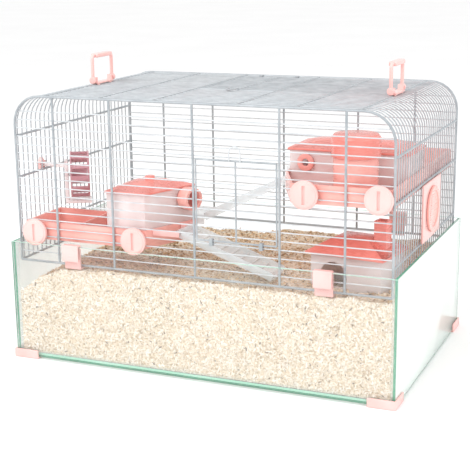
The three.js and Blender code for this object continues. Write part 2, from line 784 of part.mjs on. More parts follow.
const rightHouse = {
  left: rightTrayEnd - rightTrayLength + trayWall + rest,
  right: rightTrayEnd - trayWall - rest,
  front: trayFront + rightHouseSetBack,
};

function makeRightHouse() {
  const { left, right, front } = rightHouse;
  const back = front + rightHouseDepth;
  const floor = rightTrayLevel + trayWall + rest;
  const top = floor + rightHouseHeight;
  const t = houseWall;
  const shell = cut(box(left, right, front, back, floor, top), [
    box(left + t, right - t, front + t, back - t, floor - 1, top + 1),
  ]);
  const x = left + 24;
  const z = top - rightPortRadius - 7;
  const doorway = box(left + 60, left + 105, back - 5, back + 5, floor - 1, floor + 42);
  const hole = rod([x, front - 5, z], [x, front + 5, z], rightPortRadius, 20);
  add("right_house_walls", cut(shell, [doorway, hole]), BLUSH, 0.5);
  const ring = cut(rod([x, front - 4, z], [x, front - rest, z], rightPortRadius + 3, 24), [
    rod([x, front - 6, z], [x, front + 1, z], rightPortRadius - 4, 20),
  ]);
  add("right_house_port", ring, SALMON);
  const corners = [[left, front], [right, front], [right, back], [left, back]];
  const level = top + rest;
  const eaves = inset(corners, -eave + 0.5);
  const plate = flat(outline(eaves), level, level + roofPlate);
  const slopes = hip(outline(eaves), level + roofPlate - 0.5, level + rightRoofRise, 0.5);
  const hollow = hip(outline(inset(corners, 4)), level - 1, level + rightRoofRise - 3, 0.5);
  add("right_house_roof", cut(joined([plate, slopes]), [hollow]), ROSE);
}

// ---- Lidded pot ----
function makePot() {
  const x = halfLength - potFromRight;
  const y = -halfDepth + potFromFront;
  const floor = rightTrayLevel + trayWall + rest;
  const inner = potRadius - potWall;
  const body = [[0, 0], [potRadius - 3, 0], [potRadius, 4], [potRadius, potHeight],
    [inner, potHeight], [inner, 5], [inner - 2, 3], [0, 3]];
  const points = body.map(([r, h]) => new THREE.Vector2(r, h));
  const cup = new THREE.LatheGeometry(points, 28);
  add("pot_body", solid(cup.rotateX(Math.PI / 2).translate(x, y, floor)), SALMON);
  const seat = floor + potHeight + rest;
  const bore = potRadius + rest + 0.4;
  const skirt = bore + 2.4;
  const top = lidHeight - lidDrop;
  const lid = [[0, 0], [bore, 0], [bore, -lidDrop], [skirt, -lidDrop], [skirt, top - 5],
    [skirt - 4, top], [0, top]];
  const lidPoints = lid.map(([r, h]) => new THREE.Vector2(r, h));
  const cap = new THREE.LatheGeometry(lidPoints, 28);
  add("pot_lid", solid(cap.rotateX(Math.PI / 2).translate(x, y, seat)), ROSE);
}

// ---- Wheel ----
const wheelX = -halfLength + wheelFromLeft;
const wheelY = -halfDepth + wheelFromFront;
const wheelZ = leftTrayLevel + wheelAxleLift;

// Places a mesh made round the wheel's own axis at the wheel.
function atWheel(node) {
  node.rotation.z = wheelTurn;
  node.position.set(wheelX, wheelY, wheelZ);
}

function makeWheelDrum() {
  const half = wheelWidth / 2;
  const along = (a, b, r, n) => rod([a, 0, 0], [b, 0, 0], r, n);
  const disc = along(-half, -half + 2, wheelRadius, 36);
  const ring = cut(along(half - 2.5, half, wheelRadius, 36), [
    along(half - 4, half + 1, wheelRadius - 5, 36),
  ]);
  const hub = along(-half, half - 4, hubRadius, 16);
  const pieces = [disc, ring, hub];
  for (let i = 0; i < rungCount; i += 1) {
    const angle = (2 * Math.PI * i) / rungCount;
    const rung = new THREE.BoxGeometry(wheelWidth - 2, 7, 3);
    rung.translate(0, 0, wheelRadius - 2.4).rotateX(angle);
    pieces.push(solid(rung));
  }
  const bore = along(-half - 1, half, axleRadius + turning, 16);
  atWheel(add("wheel_drum", cut(joined(pieces), [bore]), MAUVE, 0.8));
}

// The axle: a plain pin with a head that keeps the drum on.
function makeAxle() {
  const half = wheelWidth / 2;
  const pin = rod([-half - 9, 0, 0], [half - 3.2, 0, 0], axleRadius, 16);
  const head = rod([half - 3.6, 0, 0], [half - 1, 0, 0], 6, 16);
  atWheel(add("wheel_axle", joined([pin, head]), CLEAR));
}

// Hanger: an upright, a plate under the drum, and a threaded stub out between the end wires.
function makeWheelStand() {
  const half = wheelWidth / 2;
  const near = -half - 3.5;
  const down = wheelRadius + 6;
  const rise = stubLift - wheelAxleLift;
  const upright = box(near - 5, near, -9, 9, -down, rise + 7);
  const plate = box(near - 5, half + 2, -16, 16, -down, -down + 3.5);
  const bore = rod([near - 6, 0, 0], [near + 1, 0, 0], axleRadius + turning, 16);
  const body = cut(joined([upright, plate]), [bore]);
  const local = new THREE.Matrix4().makeRotationZ(wheelTurn).setPosition(wheelX, wheelY, wheelZ);
  const mesh = body.getMesh();
  const geometry = new THREE.BufferGeometry();
  geometry.setAttribute("position", new THREE.BufferAttribute(new Float32Array(mesh.vertProperties), 3));
  geometry.setIndex(new THREE.BufferAttribute(new Uint32Array(mesh.triVerts), 1));
  geometry.applyMatrix4(local);
  const stub = rod([stubFrom, stubY, stubZ], [-wireEnd - 8, stubY, stubZ], stubRadius, 12);
  add("wheel_stand", joined([solid(geometry), stub]), BLUSH);
}

// The stub leaves through the gap between two end wires that is nearest to the upright.
const stubY = (Math.round((wheelY - 11) / wirePitch - 0.5) + 0.5) * wirePitch;
const stubZ = leftTrayLevel + stubLift;
const stubFrom = wheelX - (wheelWidth / 2 + 2.5) * Math.cos(wheelTurn);

// Star-shaped nut outside the end wires.
function makeStarNut() {
  const shape = new THREE.Shape();
  const points = 5;
  for (let i = 0; i < 2 * points; i += 1) {
    const angle = (Math.PI * i) / points;
    const r = i % 2 ? 6.5 : 10.5;
    const y = stubY + r * Math.sin(angle);
    const z = stubZ + r * Math.cos(angle);
    if (i === 0) {
      shape.moveTo(y, z);
    } else {
      shape.lineTo(y, z);
    }
  }
  shape.closePath();
  const from = -wireEnd - rest - 6;
  const body = sideways(shape, from, from + 6);
  const bore = rod([from - 1, stubY, stubZ], [from + 7, stubY, stubZ], stubRadius + turning, 12);
  add("star_nut", cut(body, [bore]), PALE_PINK);
}

// ---- Ramps ----
const rodX = leftTrayCorners[2][0] + 6;
const rodZ = leftTrayLevel + trayHeight - 4;
const rampFront = trayFront + 14;
const rampBack = rampFront + rampWidth;

// Two arms from the cut corner of the left shelf, and the rod that they hold.
function makeRampBracket() {
  const arms = [rampFront - 4, rampBack + 1].map((y) => {
    const share = (y + 3 - leftTrayCorners[1][1]) / leftTrayDepth;
    const face = leftTrayCorners[1][0] + share * leftCutLength;
    return box(face + rest, rodX + 4, y, y + 3, rodZ - 4, rodZ + 4);
  });
  const bar = rod([rodX, rampFront - 3, rodZ], [rodX, rampBack + 3, rodZ], rampRodRadius, 12);
  const tie = box(rodX - 7.4, rodX - 5.4, rampFront - 3, rampBack + 3, rodZ - 4, rodZ - 1);
  add("ramp_bracket", joined([...arms, bar, tie]), PALE_PINK);
}

// A clear ladder lying along local x from its hinge barrel, with raised edges and treads.
function ladder(length, width, start) {
  const pieces = [box(start, length, 0, width, -rampThickness, 0)];
  for (const y of [0, width - 2]) {
    pieces.push(box(start, length, y, y + 2, -rampThickness, rampEdge));
  }
  for (let x = start + 12; x < length - 6; x += 16) {
    pieces.push(box(x, x + 3, 1, width - 1, -1, 2.2));
  }
  return joined(pieces);
}

// The same solid, tilted down from its start and moved into place.
function placed(body, tilt, x, y, z) {
  const mesh = body.getMesh();
  const geometry = new THREE.BufferGeometry();
  geometry.setAttribute("position", new THREE.BufferAttribute(new Float32Array(mesh.vertProperties), 3));
  geometry.setIndex(new THREE.BufferAttribute(new Uint32Array(mesh.triVerts), 1));
  return solid(geometry.rotateY(tilt).translate(x, y, z));
}

function makeRamp() {
  const barrel = rod([0, 0, 0], [0, rampWidth, 0], rampRodRadius + turning + 2, 16);
  const bore = rod([0, -1, 0], [0, rampWidth + 1, 0], rampRodRadius + turning, 12);
  const body = cut(joined([ladder(rampReach, rampWidth, 1), barrel]), [bore]);
  add("down_ramp", placed(body, rampPitch, rodX, rampFront, rodZ), CLEAR, 0.35);
}

// Fixed clear ladder: a landing hooked on the left shelf's back rim, then a slope to the right shelf.
function makeBridge() {
  const front = leftTrayCorners[2][1] + rest;
  const back = front + bridgeWidth;
  const level = leftTrayLevel + trayHeight + rest;
  const from = new THREE.Vector2(leftTrayCorners[2][0] + 14, level + 3);
  const to = new THREE.Vector2(rightTrayCorners[3][0] - rest - 3, rightTrayLevel + bridgeRise);
  const run = to.clone().sub(from);
  const tilt = -Math.atan2(run.y, run.x);
  const slope = placed(ladder(run.length(), bridgeWidth, -1.5), tilt, from.x, front, from.y);
  const landing = joined([
    box(from.x - 46, from.x + 1, front, back, level, level + 3),
    box(from.x - 46, from.x + 1, back - 2, back, level, level + 9),
    box(from.x - 46, from.x - 4, front - 2.6, front + 1, level, level + 3),
    box(from.x - 46, from.x - 4, front, front + 3, level - 8, level + 1),
  ]);
  const rimLevel = rightTrayLevel + trayHeight + rest;
  const hook = joined([
    box(to.x - 0.5, to.x + 3, front, back, to.y - 6, rimLevel + 3),
    box(to.x - 0.5, to.x + 5.6, front, back, rimLevel, rimLevel + 3),
  ]);
  add("bridge", joined([slope, landing, hook]), CLEAR, 0.35);
}

// ---- Hide standing in the shavings ----
const hideX = halfLength - hideFromRight;
const hideY = -halfDepth + hideFromFront;

function makeHide() {
  const x = hideLength / 2;
  const y = hideDepth / 2;
  const t = houseWall;
  const shell = cut(box(-x, x, -y, y, hideBottom, hideWallTop), [
    box(-x + t, x - t, -y + t, y - t, hideBottom - 1, hideWallTop + 1),
  ]);
  const arch = new THREE.Shape();
  arch.moveTo(-38, hideBottom + 12);
  arch.lineTo(2, hideBottom + 12);
  arch.lineTo(2, hideBottom + 26);
  arch.absarc(-18, hideBottom + 26, 20, 0, Math.PI, false);
  arch.lineTo(-38, hideBottom + 12);
  const doorway = upright(arch, -y - 2, -y + 5, 6);
  const walls = add("hide_walls", cut(shell, [doorway]), BLUSH, 0.5);
  const corners = [[-x, -y], [x, -y], [x, y], [-x, y]];
  const level = hideWallTop + rest;
  const eaves = inset(corners, -6);
  const plate = flat(outline(eaves), level, level + roofPlate);
  const slopes = hip(outline(eaves), level + roofPlate - 0.5, level + hideRise, 0.4);
  const hollow = hip(outline(inset(corners, 3)), level - 1, level + hideRise - 4, 0.4);
  const chimney = box(x - 24, x - 6, -8, 10, level + 6, level + hideRise + 25);
  const flue = box(x - 21, x - 9, -5, 7, level + hideRise + 5, level + hideRise + 30);
  const roof = add("hide_roof", cut(joined([plate, slopes, cut(chimney, [hollow])]), [hollow, flue]), ROSE);
  for (const node of [walls, roof]) {
    node.rotation.z = hideTurn;
    node.position.set(hideX, hideY, 0);
  }
}

// ---- Port in the right end ----
function makePort() {
  const near = wireEnd + rest;
  const far = near + plateThickness;
  const half = plateHeight / 2;
  const across = plateWidth / 2;
  const plate = box(near, far, portBack - across, portBack + across, portLevel - half, portLevel + half);
  const hole = rod([near - 1, portBack, portLevel], [far + 1, portBack, portLevel], portRadius, 32);
  add("port_plate", cut(plate, [hole]), PALE_PINK);
  const at = (a, b, r, n) => rod([a, portBack, portLevel], [b, portBack, portLevel], r, n);
  const flange = at(far + rest, far + rest + 3, capFlange, 32);
  const plug = at(near - 3, far + rest + 1, portRadius - rest - 0.2, 32);
  const dish = at(far + rest + 1.6, far + rest + 5, capFlange - 7, 32);
  add("port_cap", cut(joined([flange, plug]), [dish]), SALMON);
}

makeTank();
makeFeet();
makeBedding();
makeFrontMesh();
makeBackMesh();
makeRoofAndEnds();
makeFrontDoor();
makeFrontLatch();
makeRoofDoor();
makeRimClips();
makeHandles();
makeTrays();
makeKnobs();
makeTrayPlug();
makeLeftHouse();
makeRightHouse();
makePot();
makeWheelDrum();
makeAxle();
makeWheelStand();
makeStarNut();
makeRampBracket();
makeRamp();
makeBridge();
makeHide();
makePort();

export default cage;
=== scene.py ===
"""Looks for the hamster cage: wires, glass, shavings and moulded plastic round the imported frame."""

import json
import math
import random

import bmesh
import bpy
import numpy as np
from mathutils import Matrix, Vector, noise
from mathutils.bvhtree import BVHTree


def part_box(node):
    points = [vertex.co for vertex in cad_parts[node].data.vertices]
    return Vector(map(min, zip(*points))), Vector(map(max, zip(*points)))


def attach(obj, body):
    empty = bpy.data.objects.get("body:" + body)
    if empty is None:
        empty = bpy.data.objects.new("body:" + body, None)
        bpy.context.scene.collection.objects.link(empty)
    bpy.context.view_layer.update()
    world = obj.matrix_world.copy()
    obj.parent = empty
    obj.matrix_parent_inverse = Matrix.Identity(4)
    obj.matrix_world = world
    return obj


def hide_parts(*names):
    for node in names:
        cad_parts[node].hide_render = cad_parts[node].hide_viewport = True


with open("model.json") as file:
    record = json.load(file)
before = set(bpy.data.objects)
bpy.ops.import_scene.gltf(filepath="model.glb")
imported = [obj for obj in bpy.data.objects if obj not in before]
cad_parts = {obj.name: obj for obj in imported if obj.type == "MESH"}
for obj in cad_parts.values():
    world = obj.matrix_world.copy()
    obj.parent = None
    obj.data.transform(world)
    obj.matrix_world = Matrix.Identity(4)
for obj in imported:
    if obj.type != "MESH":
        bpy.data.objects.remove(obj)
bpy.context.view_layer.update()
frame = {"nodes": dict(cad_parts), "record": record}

# ---- Sizes that the wire top is made to, in metres ----
THICK = 0.00175  # radius of the frame wires
THIN = 0.0009  # radius of the fine wires
DOOR = 0.0013  # radius of the door wires
PITCH = 0.0121
FIRST_ROW = 0.0234  # first row below the roof
BEND = 0.043
ROW_COUNT = 19
POSTS = (-0.217, -0.126, 0.0, 0.125, 0.216)
ROOF_BARS = (0.062, 0.146, 0.233)
END_BARS = (3, 8, 15)  # rows that a thick end wire lies on
HATCH = 0.062
HATCH_ROWS = (-2, 13)
BEND_STEPS = 7
BENT_TOP = (
    "roof_mesh",
    "left_shoulder_mesh",
    "right_shoulder_mesh",
    "left_end_mesh",
    "right_end_mesh",
)


# ---- Camera ----
def set_camera():
    yaw, pitch, roll = 0.403476, 0.244025, -0.012050
    across = Vector((math.cos(yaw), math.sin(yaw), 0))
    ahead = Vector(
        (
            -math.sin(yaw) * math.cos(pitch),
            math.cos(yaw) * math.cos(pitch),
            -math.sin(pitch),
        )
    )
    up = across.cross(ahead)
    side = math.cos(roll) * across + math.sin(roll) * up
    top = -math.sin(roll) * across + math.cos(roll) * up
    lens = bpy.data.cameras.new("camera")
    lens.lens = 88.12
    lens.sensor_width = 36
    lens.clip_start = 0.05
    lens.clip_end = 100
    camera = bpy.data.objects.new("camera", lens)
    bpy.context.scene.collection.objects.link(camera)
    turn = Matrix((side, top, -ahead)).transposed().to_4x4()
    camera.matrix_world = Matrix.Translation((0.652408, -1.560553, 0.588983)) @ turn
    bpy.context.scene.camera = camera


# ---- Colours and node helpers ----
def tone(code):
    """A colour from its six-digit code, as linear light."""
    parts = [int(code[i : i + 2], 16) / 255 for i in (0, 2, 4)]
    light = [p / 12.92 if p <= 0.04045 else ((p + 0.055) / 1.055) ** 2.4 for p in parts]
    return (*light, 1)


def start_material(name):
    material = bpy.data.materials.new(name)
    material.use_nodes = True
    tree = material.node_tree
    shader = tree.nodes["Principled BSDF"]
    place = tree.nodes.new("ShaderNodeTexCoord").outputs["Object"]
    return material, tree, shader, place


def grain(tree, place, scale, detail=3, stretch=None):
    """Noise over the piece; stretch lengthens it along an axis."""
    if stretch:
        mapping = tree.nodes.new("ShaderNodeMapping")
        mapping.inputs["Scale"].default_value = stretch
        tree.links.new(place, mapping.inputs["Vector"])
        place = mapping.outputs["Vector"]
    node = tree.nodes.new("ShaderNodeTexNoise")
    node.inputs["Scale"].default_value = scale
    node.inputs["Detail"].default_value = detail
    tree.links.new(place, node.inputs["Vector"])
    return node.outputs["Fac"]


def ramp(tree, factor, stops):
    """Colours laid over a factor: stops are (place, colour) from low to high."""
    node = tree.nodes.new("ShaderNodeValToRGB")
    band = node.color_ramp
    band.elements[0].position, band.elements[0].color = stops[0]
    band.elements[1].position, band.elements[1].color = stops[-1]
    for place, colour in stops[1:-1]:
        band.elements.new(place).color = colour
    tree.links.new(factor, node.inputs["Fac"])
    return node.outputs["Color"]


def spread(tree, factor, low, high, start=0.3, end=0.7):
    """A factor's middle stretched to run from low to high."""
    node = tree.nodes.new("ShaderNodeMapRange")
    node.inputs["From Min"].default_value = start
    node.inputs["From Max"].default_value = end
    node.inputs["To Min"].default_value = low
    node.inputs["To Max"].default_value = high
    tree.links.new(factor, node.inputs["Value"])
    return node.outputs["Result"]


def bump(tree, height, strength, distance):
    node = tree.nodes.new("ShaderNodeBump")
    node.inputs["Strength"].default_value = strength
    node.inputs["Distance"].default_value = distance
    tree.links.new(height, node.inputs["Height"])
    return node.outputs["Normal"]


# ---- Finishes ----
def moulded_plastic(name, colour, shade, rough=0.32, cover=1.0, texture=0.1):
    """Glossy moulded plastic: soft clouding, a fine skin and faint rub marks."""
    material, tree, shader, place = start_material(name)
    clouds = grain(tree, place, 26)
    stops = [(0.32, tone(shade)), (0.62, tone(colour))]
    tree.links.new(ramp(tree, clouds, stops), shader.inputs["Base Color"])
    rubs = grain(tree, place, 70, 4, (1, 1, 5))
    tree.links.new(
        spread(tree, rubs, rough - 0.07, rough + 0.12), shader.inputs["Roughness"]
    )
    skin = grain(tree, place, 1400, 2)
    tree.links.new(bump(tree, skin, texture, 0.0003), shader.inputs["Normal"])
    shader.inputs["Coat Weight"].default_value = 0.35
    shader.inputs["Coat Roughness"].default_value = 0.08
    shader.inputs["Alpha"].default_value = cover
    return material


def coated_wire(name, dark, mid, light):
    """Drawn steel wire with a thin grey coat that is a little uneven along its run."""
    material, tree, shader, place = start_material(name)
    streaks = grain(tree, place, 60, 3)
    stops = [(0.3, tone(dark)), (0.55, tone(mid)), (0.8, tone(light))]
    tree.links.new(ramp(tree, streaks, stops), shader.inputs["Base Color"])
    tree.links.new(spread(tree, streaks, 0.3, 0.42), shader.inputs["Roughness"])
    beads = grain(tree, place, 500, 2)
    tree.links.new(bump(tree, beads, 0.06, 0.0002), shader.inputs["Normal"])
    shader.inputs["Metallic"].default_value = 0.1
    return material


def glass_with_painted_reflection(name):
    """Float glass: nearly nothing face on, and a painted white sheen at a slant, where the near-white
    colour turns opaque as a painted reflection.
    """
    material, tree, shader, place = start_material(name)
    smears = grain(tree, place, 9, 4, (1, 1, 0.4))
    stops = [(0.3, tone("eef7f3")), (0.7, tone("fbfffd"))]
    tree.links.new(ramp(tree, smears, stops), shader.inputs["Base Color"])
    tree.links.new(spread(tree, smears, 0.03, 0.09), shader.inputs["Roughness"])
    # Painted reflection: alpha rises as the pane turns away, so its near-white colour shows at a
    # slant in place of reflected light; the smears are the glass's own.
    slant = tree.nodes.new("ShaderNodeLayerWeight")
    slant.inputs["Blend"].default_value = 0.5
    tree.links.new(
        spread(tree, slant.outputs["Facing"], 0.05, 0.8, 0.35, 0.66),
        shader.inputs["Alpha"],
    )
    return material


def glass_edge(name, deep, mid, light):
    """The green cut edge of a pane, a little brighter here and there."""
    material, tree, shader, place = start_material(name)
    waves = grain(tree, place, 9, 2)
    stops = [(0.3, tone(deep)), (0.5, tone(mid)), (0.7, tone(light))]
    tree.links.new(ramp(tree, waves, stops), shader.inputs["Base Color"])
    tree.links.new(spread(tree, waves, 0.08, 0.25), shader.inputs["Roughness"])
    shader.inputs["Alpha"].default_value = 0.8
    return material


def clear_sealant(name):
    material, tree, shader, place = start_material(name)
    drag = grain(tree, place, 120, 3, (1, 1, 0.2))
    stops = [(0.3, tone("dfe8e3")), (0.7, tone("f4f8f5"))]
    tree.links.new(ramp(tree, drag, stops), shader.inputs["Base Color"])
    tree.links.new(spread(tree, drag, 0.3, 0.5), shader.inputs["Roughness"])
    tree.links.new(bump(tree, drag, 0.3, 0.0005), shader.inputs["Normal"])
    shader.inputs["Alpha"].default_value = 0.2
    return material


def wood_bed(name):
    """Packed shavings seen between the loose ones: tan with dark gaps."""
    material, tree, shader, place = start_material(name)
    cells = tree.nodes.new("ShaderNodeTexVoronoi")
    cells.inputs["Scale"].default_value = 230
    tree.links.new(place, cells.inputs["Vector"])
    fleck = grain(tree, place, 320, 4)
    stops = [(0.3, tone("cbb59b")), (0.5, tone("ecdcc6")), (0.7, tone("faf1e4"))]
    tree.links.new(ramp(tree, fleck, stops), shader.inputs["Base Color"])
    shader.inputs["Roughness"].default_value = 0.9
    tree.links.new(
        bump(tree, cells.outputs["Distance"], 0.8, 0.003), shader.inputs["Normal"]
    )
    return material


def wood_chip(name, stops):
    """Planed softwood flakes, each its own shade, with a fine grain."""
    material, tree, shader, place = start_material(name)
    shade = tree.nodes.new("ShaderNodeAttribute")
    shade.attribute_name = "shade"
    colour = ramp(tree, shade.outputs["Fac"], stops)
    tree.links.new(colour, shader.inputs["Base Color"])
    lines = grain(tree, place, 700, 3)
    tree.links.new(spread(tree, lines, 0.65, 0.9), shader.inputs["Roughness"])
    tree.links.new(bump(tree, lines, 0.4, 0.0004), shader.inputs["Normal"])
    return material


FINISH = {
    "wire": coated_wire("coated_wire", "999fa4", "a8aeb2", "b8bdc1"),
    "pale_pink": moulded_plastic("pale_pink_plastic", "f9c8c3", "f6bdb7"),
    "salmon": moulded_plastic("salmon_plastic", "f8b7ad", "f3a89e", 0.28),
    "rose": moulded_plastic("rose_plastic", "ef9388", "e78378", 0.24),
    "blush": moulded_plastic("blush_clear_plastic", "fff6f5", "fdeae8", 0.14, 0.58, 0.02),
    "clear_plastic": moulded_plastic("clear_plastic", "f1f5f6", "e2e8ea", 0.12, 0.5, 0.02),
    # Painted shade: the mauve finish is a darker copy of the pink plastic, standing for pink seen in
    # shadow through the end wires; its clouding is the plastic's own random tone.
    "mauve": moulded_plastic("shaded_pink_clear_plastic", "d79ea6", "c4858f", 0.18, 0.7, 0.05),
    "sealant": clear_sealant("clear_sealant"),
    "glass": glass_with_painted_reflection("glass_with_painted_reflection"),
    "shavings": wood_bed("packed_shavings"),
}
# The fine wire has one coat but two copies: lighter on the upright faces and darker on the roof and
# ends. The difference between them is painted light and shade.
WIRES = [FINISH["wire"], coated_wire("fine_upright_wire_painted_light", "c3c8cb", "d0d4d7", "dce0e2")]
TOP_WIRES = [FINISH["wire"], coated_wire("fine_top_wire_painted_shade", "a5abaf", "b3b9bd", "c2c7ca")]
GLASS_EDGE = glass_edge("green_glass_edge", "2f8a69", "459f7e", "62b895")
GLASS_FRINGE = glass_edge("pale_glass_edge", "b4efd4", "c4f4de", "d6f8e9")
# Painted shade: the top flakes are a darker, browner copy of the same wood as the side flakes, for
# the top lying under the shelves and in the gaps between flakes; the random tone of each flake is its
# own.
SHADED_TOP_CHIPS = wood_chip(
    "top_wood_flakes_painted_shade",
    [(0.1, tone("6b4f38")), (0.3, tone("b58a5e")), (0.55, tone("e0bf93")), (0.9, tone("f6e4c8"))],
)
# Painted light: the side flakes against the glass are the lighter, lit copy of the same wood as the
# top flakes.
SIDE_CHIPS = wood_chip(
    "side_wood_flakes_painted_light",
    [(0.1, tone("91847a")), (0.26, tone("cdb9a2")), (0.45, tone("f4e8d8")), (0.9, tone("fffaf3"))],
)
SLOTS = {row["node"]: row["material_slot"] for row in frame["record"]["subparts"]}
BODY = {n: b for b, nodes in frame["record"]["behaviour"]["bodies"].items() for n in nodes}


# ---- Making pieces ----
def make_piece(name, shape, node, *others, materials=None, smooth=35):
    """A finished mesh that stands for its CAD nodes, with their body and finish."""
    bmesh.ops.recalc_face_normals(shape, faces=shape.faces)
    mesh = bpy.data.meshes.new(name)
    shape.to_mesh(mesh)
    shape.free()
    piece = bpy.data.objects.new(name, mesh)
    bpy.context.scene.collection.objects.link(piece)
    for material in materials or [FINISH[SLOTS[node]]]:
        mesh.materials.append(material)
    mesh.polygons.foreach_set("use_smooth", [True] * len(mesh.polygons))
    mesh.set_sharp_from_angle(angle=math.radians(smooth))
    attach(piece, BODY[node])
    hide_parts(node, *others)
    return piece


def run_wire(shape, route, radius, sides=8):
    """A round wire along a route, mitred at its corners and closed at its ends."""
    already = len(shape.faces)
    route = [Vector(p) for p in route]
    heading = (route[1] - route[0]).normalized()
    place = Matrix.Translation(route[0]) @ heading.to_track_quat("Z", "Y").to_matrix().to_4x4()
    ring = bmesh.ops.create_circle(
        shape, cap_ends=False, radius=radius, segments=sides, matrix=place
    )["verts"]
    first = list({e for v in ring for e in v.link_edges})
    loop = first
    for i in range(1, len(route)):
        here = route[i]
        heading = (here - route[i - 1]).normalized()
        onward = (route[i + 1] - here).normalized() if i + 1 < len(route) else heading
        plane = (heading + onward).normalized()
        made = bmesh.ops.extrude_edge_only(shape, edges=loop)["geom"]
        verts = [g for g in made if isinstance(g, bmesh.types.BMVert)]
        for v in verts:
            v.co += heading * ((here - v.co).dot(plane) / heading.dot(plane))
        fresh = set(verts)
        loop = [
            g
            for g in made
            if isinstance(g, bmesh.types.BMEdge) and set(g.verts) <= fresh
        ]
    bmesh.ops.edgeloop_fill(shape, edges=first)
    bmesh.ops.edgeloop_fill(shape, edges=loop)
    shape.faces.ensure_lookup_table()
    for face in shape.faces[already:]:
        face.material_index = 1 if radius == THIN else 0


def run_ring(shape, route, radius, sides=8):
    """A closed wire frame: each side is its own run, lapped at the corners."""
    for i, here in enumerate(route):
        run_wire(shape, [here, route[(i + 1) % len(route)]], radius, sides)


def bend_points(centre, radius, start, end, steps=BEND_STEPS):
    """Points (x, z) round a bend from one angle to another, in degrees."""
    points = []
    for i in range(steps + 1):
        angle = math.radians(start + (end - start) * i / steps)
        points.append(
            (centre[0] + radius * math.cos(angle), centre[1] + radius * math.sin(angle))
        )
    return points


# ---- Wire top ----
def face_route(half, top, base, radius):
    """Up one end, over the roof and down the other, as (x, z)."""
    turn = BEND - radius
    left = bend_points((-half + turn, top - turn), turn, 180, 90)
    right = bend_points((half - turn, top - turn), turn, 90, 0)
    return [(-half, base), *left, *right, (half, base)]


def row_reach(half, roof, z):
    """Half the length of a row at a height, shorter beside the round corners."""
    rise = z - (roof - BEND)
    lost = BEND - math.sqrt(BEND**2 - rise**2) if rise > 0 else 0
    return half - lost


def add_face(shape, node, door=None):
    """One upright face: frame, posts, rows and base wire."""
    low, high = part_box(node)
    y = (low.y + high.y) / 2
    inward = -0.0008 if y > 0 else 0.0008
    half = high.x - THICK
    base = low.z + THICK
    roof = high.z
    frame_route = face_route(half, roof - THICK, base, THICK)
    run_wire(shape, [(x, y, z) for x, z in frame_route], THICK)
    run_wire(shape, [(-half, y, base), (half, y, base)], THICK)
    for x in POSTS:
        run_wire(shape, [(x, y, base), (x, y, roof - THICK)], THICK)
    for row in range(ROW_COUNT):
        z = roof - FIRST_ROW - row * PITCH
        if z < base + 0.004:
            continue
        reach = row_reach(half, roof, z)
        spans = [(-reach, reach)]
        if door and door[0].z < z < door[1].z:
            spans = [(-reach, POSTS[2]), (POSTS[3], reach)]
        for start, end in spans:
            run_wire(shape, [(start, y + inward, z), (end, y + inward, z)], THIN, 6)


def make_faces():
    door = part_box("front_door")
    for name, node, opening in (
        ("front_wires", "front_mesh", door),
        ("back_wires", "back_mesh", None),
    ):
        shape = bmesh.new()
        add_face(shape, node, opening)
        make_piece(name, shape, node, materials=WIRES)


def split_route(route, start, end):
    """The part of an (x, z) route between two lengths along it."""
    points = [Vector(p) for p in route]
    out, gone = [], 0.0
    for a, b in zip(points, points[1:]):
        step = (b - a).length
        if gone + step > start and gone < end:
            if gone <= start:
                out.append(a.lerp(b, (start - gone) / step))
            elif not out:
                out.append(a)
            out.append(b if gone + step <= end else a.lerp(b, (end - gone) / step))
        gone += step
    return out


def make_roof_and_ends():
    corners = [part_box(node) for node in BENT_TOP]
    low = Vector([min(c[0][i] for c in corners) for i in range(3)])
    high = Vector([max(c[1][i] for c in corners) for i in range(3)])
    plate_low, plate_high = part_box("port_plate")
    shape = bmesh.new()
    half = high.x - THICK
    base = low.z + THICK
    roof = high.z
    route = face_route(half - 0.0002, roof - 0.0017, base, THIN)
    whole = sum((Vector(b) - Vector(a)).length for a, b in zip(route, route[1:]))
    rows = int(high.y / PITCH)
    lid = (HATCH_ROWS[0] * PITCH, HATCH_ROWS[1] * PITCH)
    bar_zs = [roof - FIRST_ROW - row * PITCH for row in END_BARS]
    for row in range(-rows, rows + 1):
        y = row * PITCH
        cuts = []
        if lid[0] + 0.001 < y < lid[1] - 0.001:
            cuts.append((whole / 2 - HATCH, whole / 2 + HATCH))
        if plate_low.y + 0.008 < y < plate_high.y - 0.008:
            cuts.append((whole - (bar_zs[1] - base), whole - (bar_zs[2] - base)))
        start = 0.0
        for cut_from, cut_to in cuts + [(whole, whole)]:
            piece = split_route(route, start, cut_from)
            run_wire(shape, [(p[0], y, p[1]) for p in piece], THIN, 6)
            start = cut_to
    for end in (-1, 1):
        for x in ROOF_BARS:
            level = roof - THICK
            run_wire(shape, [(end * x, low.y, level), (end * x, high.y, level)], THICK)
        for z in [base, *bar_zs]:
            run_wire(shape, [(end * half, low.y, z), (end * half, high.y, z)], THICK)
    make_piece("roof_and_end_wires", shape, *BENT_TOP, materials=TOP_WIRES)


